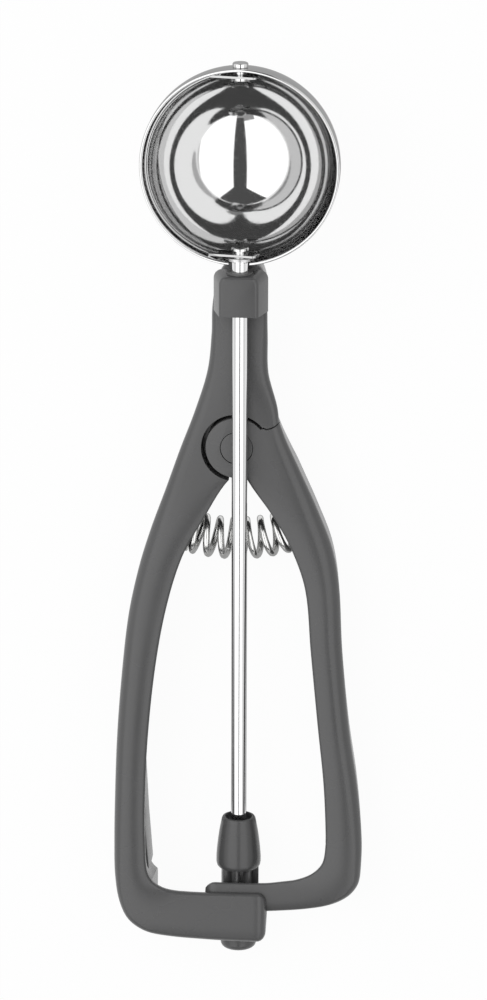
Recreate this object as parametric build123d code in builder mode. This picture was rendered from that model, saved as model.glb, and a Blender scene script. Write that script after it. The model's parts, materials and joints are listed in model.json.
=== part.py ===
"""Lever ice cream scoop: a squeezed lever turns a scraper blade inside a steel bowl.

The tool is modelled level, in millimetres: +X across the handles, +Y along the shaft towards the
bowl, +Z out of the bowl's mouth, with the origin on the shaft's axis beside the lever's pivot. At the
end every piece is laid down as the tool rests on a worktop: on the back of its bowl and its feet.
"""

from build123d import *
import os
from math import asin, cos, pi, radians, sin, sqrt, tan

# ---------------------------------------------------------------- driving dimensions (mm)

# Clearances
running_gap = 0.05        # radial, between a shaft and its bearing
seat_gap = 0.02           # between pieces that sit in one another without moving
sliding_gap = 0.3         # between moving faces that pass each other
end_gap = 0.2             # along an axis, between a turning piece and its stop

rest_tilt = 5.4           # degrees that the shaft leans when the tool lies on a worktop

# Bowl
bowl_radius = 25.3        # outside of the sphere
bowl_wall = 0.8
bowl_collar = 3.0         # straight wall from the sphere's widest circle up to the rim
bowl_y = 74.8             # centre of the bowl along the shaft
bowl_notch_width = 5.3    # slot in the collar that the shaft drops into

# Shaft
shaft_radius = 2.0
shaft_tip_radius = 1.5    # reduced end that carries the blade
shaft_flat = 0.45         # depth of the two flats that turn blade, pinion and cap
shaft_head_radius = 2.2
shaft_head = 0.7

# Scraper blade
blade_gap = 0.35          # between blade and bowl
blade_wall = 0.8
blade_arc = 25.0          # degrees of the sphere that the blade covers
blade_lift = 2.5          # degrees that its upper edge stands above the shaft's axis
blade_latitude = 78.0     # degrees from its widest line to where each end meets its tab
blade_travel = 160.0      # degrees that the blade turns
tab_overlap = 0.14        # how far each tab lies inside the strip's end
tab_width = 4.6
tab_reach = 4.8           # how far each tab passes the axis
blade_washer_radius = 3.6

# Rivet at the far end of the blade
rivet_head_radius = 2.0
rivet_head = 1.2
rivet_shank_radius = 1.4
rivet_neck_radius = 1.0   # the part that the blade turns on
rivet_inner_head_radius = 1.9
rivet_inner_head = 0.8

# Handle mouldings, seen from the side (heights from the shaft's axis)
handle_rear = -15.5
foot_wall = 2.4
slope_top = -14.0         # y where the handles start to come forward
slope_foot = -110.0       # y where they are level again
slope_round = 60.0        # radii of the bends in front and at the back
rear_round = 120.0
edge_round = 2.2

# Lever pivot
pivot_x = -1.0
hub_radius = 8.0
hub_gap = 0.6             # round the hub, in its recess
lap_height = -8.2         # level of the joint between lever hub and frame hub
pivot_radius = 2.5
pivot_bush_wall = 0.8
pivot_cap_radius = 4.15
pivot_cap_thickness = 1.2
pivot_head_radius = 3.9
pivot_head = 1.4
hub_washer_radius = 5.6
hub_washer_thickness = 0.8

# Collar block on the neck
collar_clearance = 2.6    # from the collar block up to the bowl
collar_height = 10.5
collar_half_width = 6.8
collar_front = 4.3
collar_flat = 9.4
collar_shoulder = 0.2     # height at which its bevels start
collar_edge_round = 0.6
peg_radius = 1.2
peg_length = 4.0
peg_offset = 4.3
bush_wall = 0.7
bush_flange = 0.6
bush_flange_radius = 3.4

# Bracket that carries the bowl, and its screws
bracket_thickness = 2.0
bracket_width = 8.0
bracket_front = -8.6
bracket_tail = 27.0       # y of the end inside the neck
bracket_reach = 5.3       # how far the tang passes the bowl's near side
saddle_wall = 1.2
saddle_width = 9.0
saddle_height = 6.6
screw_radius = 1.4
screw_head_radius = 2.6
screw_head = 1.5
screw_length = 7.4
screw_ys = (31.0, 38.0)

# Pinion and rack
pinion_teeth = 9
gear_module = 1.0
tooth_addendum = 0.9
tooth_dedendum = 1.2
pinion_tooth = 1.25       # thickness at the pitch line
pinion_tooth_tip = 0.6
pinion_tooth_root = 1.35
rack_addendum = 0.8
rack_tooth = 1.1
rack_flank = 20.0         # degrees
rack_first_tooth = -2     # counted from the gap that faces the pinion at rest
rack_last_tooth = 5
rack_margin = 0.8         # from the tongue's upper edge to the teeth
plain_angles = (130.0, 250.0)  # sector of the pinion that never meets the rack, from +X
pinion_top = -99.3
pinion_skirt = -111.7     # end of the tapered sleeve, where the teeth start
pinion_end = -123.2
sleeve_top_radius = 4.2
sleeve_radius = 5.87
sleeve_mouth_radius = 3.5
sleeve_mouth_depth = 1.6
journal_radius = 3.0

# Feet
foot_top = -117.0
foot_bottom = -130.2
foot_end = 7.6
foot_flange = 3.2
channel_left = -22.0
channel_top = -96.0
tongue_end = -8.7
tongue_top = -115.4
tongue_bottom = -124.8
tongue_end_round = 3.4
tongue_thickness = 1.75   # in front of the rack teeth
tongue_root = 19.0        # x where the thin tongue meets the full-depth foot
foot_corner = 2.6
foot_far = -150.0         # y beyond both feet, for the outlines that the feet are cut from
inner_corner_radius = 6.0
end_cap_radius = 4.7
end_cap_height = 5.4
end_cap_round = 1.8
end_cap_floor = 1.6
journal_bush_wall = 0.9
journal_bush_collar_radius = 5.2

# Return spring
spring_radius = 4.72      # of the coil's centre line
spring_wire_radius = 0.88
spring_turns = 6.5
spring_bend_radius = 44.7
spring_left = (-12.8, -24.7)
spring_right = (13.9, -22.95)
spring_z = -8.6
spring_peg_radius = 3.4
spring_peg_length = 2.6
spring_points_per_turn = 10

# Outlines of the mouldings, seen from the front. The curves follow the palm and the fingers, so
# each is a list of the few points that it passes through. The neck's upper points keep their
# place under the bowl.
collar_top = bowl_y - bowl_radius - collar_clearance
neck_end = collar_top + 11.1
neck_left = [
    (-4.9, neck_end), (-4.9, collar_top + 6.6), (-5.1, collar_top + 2.1), (-6.4, collar_top - 3.1),
    (-7.4, collar_top - 8.9), (-7.5, 30.0), (-8.5, 20.0), (-11.8, 9.3),
]
neck_right = [
    (10.9, 2.2), (9.1, 7.5), (7.3, 13.0), (6.4, 24.0), (6.5, collar_top - 10.9), (6.2, collar_top - 4.9),
    (5.0, collar_top + 1.6), (4.9, collar_top + 6.6), (4.9, neck_end),
]
left_outer = [
    (-15.9, -1.5), (-20.9, -15.0), (-26.1, -31.0), (-29.9, -52.0), (-31.8, -83.0), (-32.2, -108.0),
]
left_corner = [(-31.7, -119.0), (-28.9, -125.4), (-20.0, -129.3), (-7.0, -129.9), (foot_end, foot_bottom)]
left_inner = [
    (-23.1, foot_top), (-23.7, -104.0), (-24.0, -80.0), (-22.0, -58.0), (-18.8, -42.0), (-15.2, -30.6),
    (-9.8, -19.9), (-2.6, -8.3),
]
right_outer = [
    (7.3, 13.0), (10.9, 2.2), (15.6, -8.4), (19.1, -16.4), (23.0, -26.9), (24.9, -37.4), (26.0, -53.3),
    (28.1, -74.5), (31.0, -96.0), (31.8, -108.0),
]
right_corner = [(31.0, -116.3), (27.6, -119.7), (16.5, -123.6), (8.0, tongue_bottom)]
right_inner = [
    (8.0, tongue_top), (13.3, -114.9), (20.6, -111.4), (22.8, -103.5), (21.4, -82.0), (19.0, -61.2),
    (17.1, -40.3), (14.6, -29.9), (8.85, -19.4), (1.9, -8.9),
]
seam_tip_angle = 38.5     # degrees round the pivot where the hub's recess ends
seam_end = (10.4, 7.2)    # where the seam between neck and lever reaches the outside
seam_sag = 0.35
seam_gap = 0.15           # half of the gap at the seam
seam_rise = 8.0           # how much higher the cut runs beyond the outline
web_outline = [(-26.0, -82.0), (-24.5, -82.0), (-22.5, -115.4), (-22.8, -119.5), (-26.0, -119.5)]
web_front = 3.0

# ---------------------------------------------------------------- derived values

bowl_inner = bowl_radius - bowl_wall
blade_outer = bowl_inner - blade_gap
blade_inner = blade_outer - blade_wall
tab_distance = blade_inner * sin(radians(blade_latitude)) - tab_overlap
tab_outer = tab_distance + blade_wall
bowl_centre = (0.0, bowl_y, 0.0)
neck_front = -shaft_radius - sliding_gap
pivot = (pivot_x, 0.0)
recess_radius = hub_radius + hub_gap
lap_top = lap_height + end_gap / 2
lap_bottom = lap_height - end_gap / 2
pitch = pi * gear_module
pitch_radius = gear_module * pinion_teeth / 2
tip_radius = pitch_radius + tooth_addendum
root_radius = pitch_radius - tooth_dedendum
rack_root = pitch_radius + tooth_dedendum
rack_radius = -(tongue_top + pinion_end) / 2
lever_travel = blade_travel * pitch_radius / rack_radius
washer_low = lap_bottom - hub_washer_thickness + end_gap / 4
lever_front = rack_root + tongue_thickness
foot_wall_back = lever_front + sliding_gap
frame_front = foot_wall_back + foot_wall
flange_top = foot_bottom + foot_flange
journal_bush_radius = journal_radius + running_gap + journal_bush_wall
pivot_bush_radius = pivot_radius + running_gap + pivot_bush_wall
shaft_bush_radius = shaft_radius + running_gap + bush_wall
cap_top = foot_bottom - end_gap
pivot_cap_front = neck_front - end_gap / 2
pin_head_front = pivot_cap_front - pivot_cap_thickness - end_gap / 2
counterbore_floor = pin_head_front - pivot_head - end_gap / 2
far_out = 40.0            # beyond every outline, for cutting tools


def worktop(y):
    """Height of the worktop under the tool, in the tool's own level frame."""
    return -bowl_radius / cos(radians(rest_tilt)) + (bowl_y - y) * tan(radians(rest_tilt))


def about_pivot(radius, angle):
    """Point at a radius and an angle (degrees from +X) round the lever's pivot."""
    return (pivot_x + radius * cos(radians(angle)), radius * sin(radians(angle)))


def across(y):
    """Plane square to the shaft at y: its x is +X, its y is +Z, and it faces the feet."""
    return Plane.XZ.offset(-y)


def turned(profile):
    """Round piece on the shaft's axis, from its half outline as (radius, y) points."""
    with BuildPart() as piece:
        with BuildSketch():
            with BuildLine():
                Polyline(*profile, close=True)
            make_face()
        revolve(axis=Axis.Y)
    return piece


def disc(radius, low, high, centre=(0.0, 0.0), hole=0.0, mode=Mode.ADD):
    """Round step along Z between two heights, with an optional hole, on the part being built."""
    with BuildSketch(Plane.XY.offset(low)) as outline:
        with Locations(centre):
            Circle(radius)
            if hole:
                Circle(hole, mode=Mode.SUBTRACT)
    extrude(outline.sketch, amount=high - low, mode=mode)


def block(x_span, y_span, z_span, mode=Mode.ADD):
    """Plain block between two values on each axis, on the part being built."""
    spans = (x_span, y_span, z_span)
    with Locations(tuple((low + high) / 2 for low, high in spans)):
        Box(*(high - low for low, high in spans), mode=mode)


def prism(points, low, high, mode=Mode.ADD):
    """Straight-sided outline stood up between two heights, on the part being built."""
    with BuildSketch(Plane.XY.offset(low)) as outline:
        with BuildLine():
            Polyline(*points, close=True)
        make_face()
    extrude(outline.sketch, amount=high - low, mode=mode)


def moulded_edges(piece):
    """Edges where the front and back faces of a moulding meet its side walls, outside the hub."""
    walls = piece.faces().filter_by(lambda face: abs(face.normal_at().Z) < 0.05)
    crowns = piece.faces().filter_by(lambda face: abs(face.normal_at().Z) > 0.5)
    crown_edges = crowns.edges()
    hub_axis = Edge.make_line((*pivot, -far_out), (*pivot, far_out))
    return ShapeList(
        edge for edge in walls.edges()
        if edge in crown_edges
        and not (edge.geom_type == GeomType.LINE and edge.distance_to(hub_axis) < hub_radius)
    )


def side_view(front_height):
    """Side outline of a handle moulding, whose front comes forward to front_height at the foot."""
    rear_break = bowl_y - (handle_rear + bowl_radius / cos(radians(rest_tilt))) / tan(radians(rest_tilt))
    points = [
        (neck_end, neck_front), (slope_top, neck_front), (slope_foot, front_height), (foot_far, front_height),
        (foot_far, worktop(foot_far)), (rear_break, handle_rear), (neck_end, handle_rear),
    ]
    FilletPolyline(*points, radius=[0, slope_round, slope_round, 0, 0, rear_round, 0], close=True)


def seam(shift):
    """Seam between neck and lever from the hub's recess to the outside, moved up by shift."""
    tip = about_pivot(recess_radius, seam_tip_angle)
    start = (tip[0], tip[1] + shift)
    end = (seam_end[0], seam_end[1] + shift)
    middle = ((start[0] + end[0]) / 2, (start[1] + end[1]) / 2 - seam_sag)
    ThreePointArc(start, middle, end)
    return start, end


# ---------------------------------------------------------------- return spring geometry

# The coil's centre line is an arc that bows towards the feet, because each end lies on a slanted
# arm. Its ends' planes are the seats on the arms.
chord = (spring_right[0] - spring_left[0], spring_right[1] - spring_left[1])
chord_length = sqrt(chord[0] ** 2 + chord[1] ** 2)
half_bend = asin(chord_length / 2 / spring_bend_radius)
rise = spring_bend_radius * cos(half_bend)
bend_centre = (
    (spring_left[0] + spring_right[0]) / 2 - chord[1] / chord_length * rise,
    (spring_left[1] + spring_right[1]) / 2 + chord[0] / chord_length * rise,
)
chord_turn = asin(chord[1] / chord_length)


def spring_frame(angle):
    """Point of the coil's centre line at an angle from its middle, and the way to the bend's centre."""
    turn = angle + chord_turn
    inward = (-sin(turn), cos(turn))
    point = (bend_centre[0] - inward[0] * spring_bend_radius, bend_centre[1] - inward[1] * spring_bend_radius)
    return point, inward


def spring_wire_point(turns):
    """Centre of the wire after a number of turns from the left end."""
    end_angle = (spring_wire_radius + end_gap) / spring_bend_radius
    point, inward = spring_frame((2 * turns / spring_turns - 1) * (half_bend - end_angle))
    phase = 2 * pi * turns + pi
    reach = spring_radius * cos(phase)
    return (point[0] + inward[0] * reach, point[1] + inward[1] * reach, spring_z + spring_radius * sin(phase))


def spring_seat(side):
    """Plane on one arm that carries an end of the spring: side is -1 on the left, 1 on the right."""
    point, inward = spring_frame(side * half_bend)
    facing = (-side * inward[1], side * inward[0], 0.0)
    return Plane(origin=(point[0], point[1], spring_z), x_dir=(0, 0, 1), z_dir=facing)


def spring_socket(side):
    """Flat seat for one end of the spring, and the peg that holds it, on the part being built."""
    with BuildSketch(spring_seat(side)) as seat:
        Circle(spring_radius + spring_wire_radius + end_gap)
    extrude(seat.sketch, amount=2 * spring_peg_length, mode=Mode.SUBTRACT)
    with BuildSketch(spring_seat(side).offset(-spring_peg_length)) as peg:
        Circle(spring_peg_radius)
    extrude(peg.sketch, amount=2 * spring_peg_length)


# ---------------------------------------------------------------- bowl and its bracket

# Half sphere with a short straight collar. The far pole is drilled for the rivet, and the near
# side of the collar has an open slot that the shaft drops into.
with BuildPart() as bowl:
    with BuildSketch(across(bowl_y)):
        with BuildLine():
            Line((0, -bowl_radius), (0, -bowl_inner))
            CenterArc((0, 0), bowl_inner, -90, 90)
            Polyline((bowl_inner, 0), (bowl_inner, bowl_collar), (bowl_radius, bowl_collar), (bowl_radius, 0))
            CenterArc((0, 0), bowl_radius, -90, 90)
        make_face()
    revolve(axis=Axis(bowl_centre, (0, 0, 1)))
    with BuildSketch(across(bowl_y)):
        Circle(rivet_shank_radius + seat_gap)
    extrude(amount=-2 * bowl_radius, mode=Mode.SUBTRACT)
    with BuildSketch(across(bowl_y)):
        Circle(bowl_notch_width / 2)
        with Locations((0, bowl_collar)):
            Rectangle(bowl_notch_width, 2 * bowl_collar)
    extrude(amount=2 * bowl_radius, mode=Mode.SUBTRACT)

# A saddle welded to the back of the bowl, on a flat tang that goes down inside the neck.
bracket_back = bracket_front - bracket_thickness
saddle_low = (bracket_front + bracket_back - saddle_height) / 2
saddle_high = saddle_low + saddle_height


def bracket_body(grow):
    """Bracket without its screw holes, or with grow its pocket in the neck."""
    with BuildPart() as body:
        with Locations(bowl_centre):
            Sphere(bowl_radius + seat_gap + saddle_wall + grow)
        block((-saddle_width / 2 - grow, saddle_width / 2 + grow), (bowl_y - far_out, bowl_y),
              (saddle_low - grow, saddle_high + grow), mode=Mode.INTERSECT)
        block((-bracket_width / 2 - grow, bracket_width / 2 + grow),
              (bracket_tail - grow, bowl_y - bowl_radius + bracket_reach),
              (bracket_back - grow, bracket_front + grow))
        with Locations(bowl_centre):
            Sphere(bowl_radius + seat_gap, mode=Mode.SUBTRACT)
    return body


bracket_blank = bracket_body(0.0)
bracket_pocket = bracket_body(seat_gap)
with BuildPart() as bowl_bracket:
    add(bracket_blank.part)
    for y in screw_ys:
        disc(screw_radius + seat_gap, handle_rear, bracket_front + 1, (0, y), mode=Mode.SUBTRACT)

screw_back = handle_rear + end_gap
with BuildPart() as bracket_screws:
    for y in screw_ys:
        disc(screw_head_radius, screw_back, screw_back + screw_head, (0, y))
        disc(screw_radius, screw_back, screw_back + screw_length, (0, y))

# ---------------------------------------------------------------- shaft, blade and rivet

tab_far = bowl_y + tab_outer
tab_near = bowl_y - tab_outer
shaft_end = cap_top - end_cap_height + end_cap_floor


def keyed(radius, grow=0.0):
    """Round section with two flats, as on the shaft's ends, or grown by a gap as a hole for them."""
    Circle(radius + grow)
    Rectangle(2 * (radius + grow), 2 * (radius - shaft_flat + grow), mode=Mode.INTERSECT)


with BuildPart() as scraper_shaft:
    with BuildSketch(across(tab_near - seat_gap)):
        Circle(shaft_radius)
    extrude(amount=tab_near - seat_gap - pinion_skirt)
    with BuildSketch(across(pinion_skirt)):
        keyed(shaft_radius)
    extrude(amount=pinion_skirt - shaft_end)
    with BuildSketch(across(tab_near + blade_wall + seat_gap)):
        keyed(shaft_tip_radius)
    extrude(amount=blade_wall + 2 * seat_gap)
    with BuildSketch(across(tab_near + blade_wall + seat_gap + shaft_head)):
        Circle(shaft_head_radius)
    extrude(amount=shaft_head)

# A strip of sphere that sweeps round inside the bowl, with a flat tab at each pole.
blade_start = radians(-blade_lift)
blade_plane = Plane(
    origin=bowl_centre,
    x_dir=(-cos(blade_start), 0, -sin(blade_start)),
    z_dir=(sin(blade_start), 0, -cos(blade_start)),
)
tab_turn = blade_arc / 2 - blade_lift
with BuildPart() as scraper_blade:
    for outer_face in (tab_far, tab_near + blade_wall):
        with BuildSketch(across(outer_face)):
            with Locations(Rotation(0, 0, tab_turn)):
                with Locations((tab_reach - far_out / 4, 0)):
                    Rectangle(far_out / 2, tab_width)
        extrude(amount=blade_wall)
    with Locations(bowl_centre):
        Sphere(blade_outer, mode=Mode.INTERSECT)
    with BuildSketch(blade_plane):
        with BuildLine():
            outer_arc = CenterArc((0, 0), blade_outer, -blade_latitude, 2 * blade_latitude)
            inner_arc = CenterArc((0, 0), blade_inner, -blade_latitude, 2 * blade_latitude)
            Line(outer_arc @ 0, inner_arc @ 0)
            Line(outer_arc @ 1, inner_arc @ 1)
        make_face()
    revolve(axis=Axis(bowl_centre, (0, -1, 0)), revolution_arc=blade_arc)
    with BuildSketch(across(tab_far)):
        Circle(rivet_neck_radius + running_gap)
    extrude(amount=blade_wall, mode=Mode.SUBTRACT)
    with BuildSketch(across(tab_near + blade_wall)):
        keyed(shaft_tip_radius, seat_gap)
    extrude(amount=blade_wall, mode=Mode.SUBTRACT)

# The washer fills the space between the near tab and the bowl's wall.
washer_end = tab_near - seat_gap
washer_start = bowl_y - sqrt(bowl_inner ** 2 - blade_washer_radius ** 2) + seat_gap
blade_washer = turned([
    (shaft_radius + running_gap, washer_end),
    (blade_washer_radius, washer_end),
    (blade_washer_radius, washer_start),
    (shaft_radius + running_gap, washer_start),
])

rivet_outside = bowl_y + bowl_radius
blade_rivet = turned([
    (0, rivet_outside + rivet_head),
    (rivet_head_radius, rivet_outside + rivet_head),
    (rivet_head_radius, rivet_outside),
    (rivet_shank_radius, rivet_outside),
    (rivet_shank_radius, tab_far + running_gap),
    (rivet_neck_radius, tab_far + running_gap),
    (rivet_neck_radius, tab_far - blade_wall - running_gap),
    (rivet_inner_head_radius, tab_far - blade_wall - running_gap),
    (rivet_inner_head_radius, tab_far - blade_wall - running_gap - rivet_inner_head),
    (0, tab_far - blade_wall - running_gap - rivet_inner_head),
])

# ---------------------------------------------------------------- frame moulding

with BuildPart() as handle_frame:
    with BuildSketch(Plane.XY.offset(-far_out)) as frame_outline:
        with BuildLine():
            Line(neck_right[-1], neck_left[0])
            Spline(*neck_left, *left_outer, *left_corner)
            Polyline(left_corner[-1], (foot_end, foot_top), left_inner[0])
            Spline(*left_inner)
            Polyline(left_inner[-1], pivot, neck_right[0])
            Spline(*neck_right)
        make_face()
        corners = frame_outline.vertices()
        fillet(corners.sort_by_distance((foot_end, foot_bottom))[0], foot_corner)
        corners = frame_outline.vertices()
        fillet(corners.sort_by_distance((foot_end, foot_top))[0], foot_corner)
        corners = frame_outline.vertices()
        fillet(corners.sort_by_distance(left_inner[0])[0], inner_corner_radius)
    extrude(amount=2 * far_out)
    with BuildSketch(Plane.YZ.offset(-far_out)):
        with BuildLine():
            side_view(frame_front)
        make_face()
    extrude(amount=2 * far_out, mode=Mode.INTERSECT)
    fillet(moulded_edges(handle_frame), edge_round)
    # the web that stiffens the left arm above the foot
    prism(web_outline, worktop(foot_top) + 1, web_front)
    # room for the lever: its side of the seam, its hub's recess, and the channel for its tongue
    with BuildSketch(Plane.XY.offset(-far_out)):
        with BuildLine():
            seam_start, seam_stop = seam(seam_gap)
            Polyline(seam_stop, (far_out, seam_stop[1] + seam_rise), (far_out, slope_top), (-2.4, slope_top),
                     pivot, seam_start)
        make_face()
    extrude(amount=2 * far_out, mode=Mode.SUBTRACT)
    disc(recess_radius, lap_bottom, far_out, pivot, mode=Mode.SUBTRACT)
    disc(hub_radius, handle_rear, lap_bottom, pivot)
    block((channel_left, far_out), (flange_top, channel_top), (-far_out, foot_wall_back), mode=Mode.SUBTRACT)
    # pivot pin, its rear head, and the washer under the lever's hub
    disc(pivot_radius + seat_gap, -far_out, far_out, pivot, mode=Mode.SUBTRACT)
    disc(pivot_head_radius + end_gap, -far_out, handle_rear + pivot_head + end_gap, pivot, mode=Mode.SUBTRACT)
    disc(hub_washer_radius + seat_gap, washer_low - seat_gap, far_out, pivot, mode=Mode.SUBTRACT)
    # seat of the bowl, pocket of its bracket, and the screws from behind
    with Locations(bowl_centre):
        Sphere(bowl_radius + seat_gap, mode=Mode.SUBTRACT)
    add(bracket_pocket.part, mode=Mode.SUBTRACT)
    for y in screw_ys:
        disc(screw_head_radius + seat_gap, -far_out, screw_back + screw_head, (0, y), mode=Mode.SUBTRACT)
        screw_tip = screw_back + screw_length + seat_gap
        disc(screw_radius + seat_gap, -far_out, screw_tip, (0, y), mode=Mode.SUBTRACT)
    # holes for the collar block's pegs
    for side in (-1, 1):
        peg_place = (side * peg_offset, collar_top - collar_height / 2)
        disc(peg_radius + seat_gap, neck_front - peg_length - end_gap, far_out, peg_place, mode=Mode.SUBTRACT)
    # groove for the shaft's bush behind the collar block
    with BuildSketch(across(collar_top)):
        Circle(shaft_bush_radius + seat_gap)
    extrude(amount=collar_height, mode=Mode.SUBTRACT)
    with BuildSketch(across(collar_top + bush_flange + end_gap)):
        Circle(bush_flange_radius + seat_gap)
    extrude(amount=bush_flange + end_gap, mode=Mode.SUBTRACT)
    # bearing hole for the pinion's journal in the foot's flange
    with BuildSketch(across(flange_top)):
        Circle(journal_bush_radius + seat_gap)
    extrude(amount=2 * foot_flange, mode=Mode.SUBTRACT)
    spring_socket(-1)

# ---------------------------------------------------------------- lever moulding

with BuildPart() as lever_handle:
    with BuildSketch(Plane.XY.offset(-far_out)) as lever_outline:
        with BuildLine():
            Spline(*right_outer, *right_corner)
            Line(right_corner[-1], right_inner[0])
            Spline(*right_inner)
            # closed by two points inside the hub, which hides them
            Polyline(right_inner[-1], about_pivot(3.0, 225.0), about_pivot(4.0, 90.0), right_outer[0])
        make_face()
    extrude(amount=2 * far_out)
    with BuildSketch(Plane.YZ.offset(-far_out)):
        with BuildLine():
            side_view(lever_front)
        make_face()
    extrude(amount=2 * far_out, mode=Mode.INTERSECT)
    fillet(moulded_edges(lever_handle), edge_round)
    # the neck's side of the seam, and the frame's half of the hub behind the lap
    with BuildSketch(Plane.XY.offset(-far_out)):
        with BuildLine():
            seam_start, seam_stop = seam(-seam_gap)
            Polyline(seam_stop, (far_out, seam_stop[1] + seam_rise), (far_out, far_out), (-far_out, far_out),
                     (-far_out, hub_radius), seam_start)
        make_face()
    extrude(amount=2 * far_out, mode=Mode.SUBTRACT)
    disc(recess_radius, -far_out, lap_top, pivot, mode=Mode.SUBTRACT)
    disc(hub_radius, lap_top, neck_front, pivot)
    disc(pivot_bush_radius + seat_gap, -far_out, far_out, pivot, mode=Mode.SUBTRACT)
    disc(pivot_cap_radius + seat_gap, counterbore_floor, far_out, pivot, mode=Mode.SUBTRACT)
    # behind the tongue the foot is cut back, so that the tongue passes in front of the pinion
    block((-far_out, tongue_root), (foot_far, channel_top), (-far_out, rack_root), mode=Mode.SUBTRACT)
    with BuildSketch(Plane.XY.offset(rack_root)) as tongue_outline:
        with BuildLine():
            Polyline((tongue_end, tongue_top), (right_inner[0][0] + 4, tongue_top),
                     (tongue_root + 2, tongue_top - 1), (tongue_root + 2, tongue_bottom + 2.4),
                     (right_inner[0][0], tongue_bottom), (tongue_end, tongue_bottom), close=True)
        make_face()
        fillet(tongue_outline.vertices().group_by(Axis.X)[0], tongue_end_round)
    extrude(amount=tongue_thickness)
    # rack teeth stand on the back of the tongue, each along a radius from the pivot
    mesh_angle = asin(-pivot_x / rack_radius)
    rack_start = -tongue_top + rack_margin
    for number in range(rack_first_tooth, rack_last_tooth + 1):
        angle = mesh_angle + (number + 0.5) * pitch / rack_radius
        outward = (sin(angle), -cos(angle), 0)
        tooth_plane = Plane(
            origin=(pivot_x + outward[0] * rack_start, outward[1] * rack_start, 0),
            x_dir=(cos(angle), sin(angle), 0),
            z_dir=outward,
        )
        tip_half = rack_tooth / 2 - rack_addendum * tan(radians(rack_flank))
        root_half = rack_tooth / 2 + (tooth_dedendum + seat_gap) * tan(radians(rack_flank))
        with BuildSketch(tooth_plane):
            with BuildLine():
                Polyline((-tip_half, pitch_radius - rack_addendum), (tip_half, pitch_radius - rack_addendum),
                         (root_half, rack_root + seat_gap), (-root_half, rack_root + seat_gap), close=True)
            make_face()
        extrude(amount=-pinion_end - rack_start)
    spring_socket(1)

# ---------------------------------------------------------------- pivot

# Rivet with a large head at each end, fixed in the frame's half of the hub.
with BuildPart() as pivot_pin:
    disc(pivot_head_radius, handle_rear + end_gap, handle_rear + end_gap + pivot_head, pivot)
    disc(pivot_radius, handle_rear + end_gap, pin_head_front, pivot)
    disc(pivot_head_radius, pin_head_front - pivot_head, pin_head_front, pivot)

with BuildPart() as pivot_bush:
    disc(pivot_bush_radius, lap_top, counterbore_floor, pivot, pivot_radius + running_gap)

with BuildPart() as pivot_cap:
    disc(pivot_cap_radius, pivot_cap_front - pivot_cap_thickness, pivot_cap_front, pivot)
    chamfer(pivot_cap.edges().group_by(Axis.Z)[-1], 0.25)

with BuildPart() as hub_washer:
    disc(hub_washer_radius, washer_low, washer_low + hub_washer_thickness, pivot, pivot_radius + running_gap)

# ---------------------------------------------------------------- collar block and its bush

collar_bottom = collar_top - collar_height
with BuildPart() as neck_collar:
    with BuildSketch(across(collar_top)):
        with BuildLine():
            Polyline(
                (-collar_half_width, neck_front), (-collar_half_width, collar_shoulder),
                (-collar_flat / 2, collar_front), (collar_flat / 2, collar_front),
                (collar_half_width, collar_shoulder), (collar_half_width, neck_front), close=True)
        make_face()
    extrude(amount=collar_height)
    fillet(neck_collar.edges().filter_by(Axis.Y).filter_by(lambda edge: edge.center().Z > neck_front + 1),
           collar_edge_round)
    for side in (-1, 1):
        peg_place = (side * peg_offset, collar_top - collar_height / 2)
        disc(peg_radius, neck_front - peg_length, neck_front + 1, peg_place)
    with BuildSketch(across(collar_top)):
        Circle(shaft_bush_radius + seat_gap)
    extrude(amount=collar_height, mode=Mode.SUBTRACT)

shaft_bush = turned([
    (shaft_radius + running_gap, collar_top + bush_flange),
    (bush_flange_radius, collar_top + bush_flange),
    (bush_flange_radius, collar_top),
    (shaft_bush_radius, collar_top),
    (shaft_bush_radius, collar_bottom),
    (shaft_radius + running_gap, collar_bottom),
])

# ---------------------------------------------------------------- pinion, journal bush and end cap

with BuildPart() as drive_pinion:
    with BuildSketch():
        with BuildLine():
            Polyline((0, pinion_skirt), (0, pinion_top - sleeve_mouth_depth),
                     (sleeve_mouth_radius, pinion_top - sleeve_mouth_depth), (sleeve_mouth_radius, pinion_top),
                     (sleeve_top_radius, pinion_top))
            side_curve = Spline((sleeve_top_radius, pinion_top), (sleeve_radius - 0.5, pinion_top - 5.2),
                                (sleeve_radius, pinion_skirt + 1.2), tangents=[(0.5, -1), (0, -1)])
            Polyline(side_curve @ 1, (sleeve_radius - 0.5, pinion_skirt), (0, pinion_skirt))
        make_face()
    revolve(axis=Axis.Y)
    with BuildSketch(across(pinion_skirt)):
        Circle(root_radius)
        for number in range(pinion_teeth):
            tooth_angle = 90.0 + 360.0 * number / pinion_teeth
            if plain_angles[0] < tooth_angle < plain_angles[1]:
                continue
            with Locations(Rotation(0, 0, tooth_angle)):
                Polygon(
                    (root_radius - pinion_tooth_root / 2, -pinion_tooth_root / 2),
                    (root_radius, -pinion_tooth_root / 2),
                    (pitch_radius, -pinion_tooth / 2), (tip_radius, -pinion_tooth_tip / 2),
                    (tip_radius, pinion_tooth_tip / 2), (pitch_radius, pinion_tooth / 2),
                    (root_radius, pinion_tooth_root / 2),
                    (root_radius - pinion_tooth_root / 2, pinion_tooth_root / 2), align=None)
        with BuildLine():
            plain_arc = CenterArc((0, 0), pitch_radius, plain_angles[0], plain_angles[1] - plain_angles[0])
            Polyline(plain_arc @ 1, (0, 0), plain_arc @ 0)
        make_face()
    extrude(amount=pinion_skirt - pinion_end)
    with BuildSketch(across(pinion_end)):
        Circle(journal_radius)
    extrude(amount=pinion_end - cap_top)
    with BuildSketch(across(pinion_top)):
        Circle(shaft_radius + seat_gap)
    extrude(amount=pinion_top - pinion_skirt, mode=Mode.SUBTRACT)
    with BuildSketch(across(pinion_skirt)):
        keyed(shaft_radius, seat_gap)
    extrude(amount=pinion_skirt - cap_top, mode=Mode.SUBTRACT)

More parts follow.
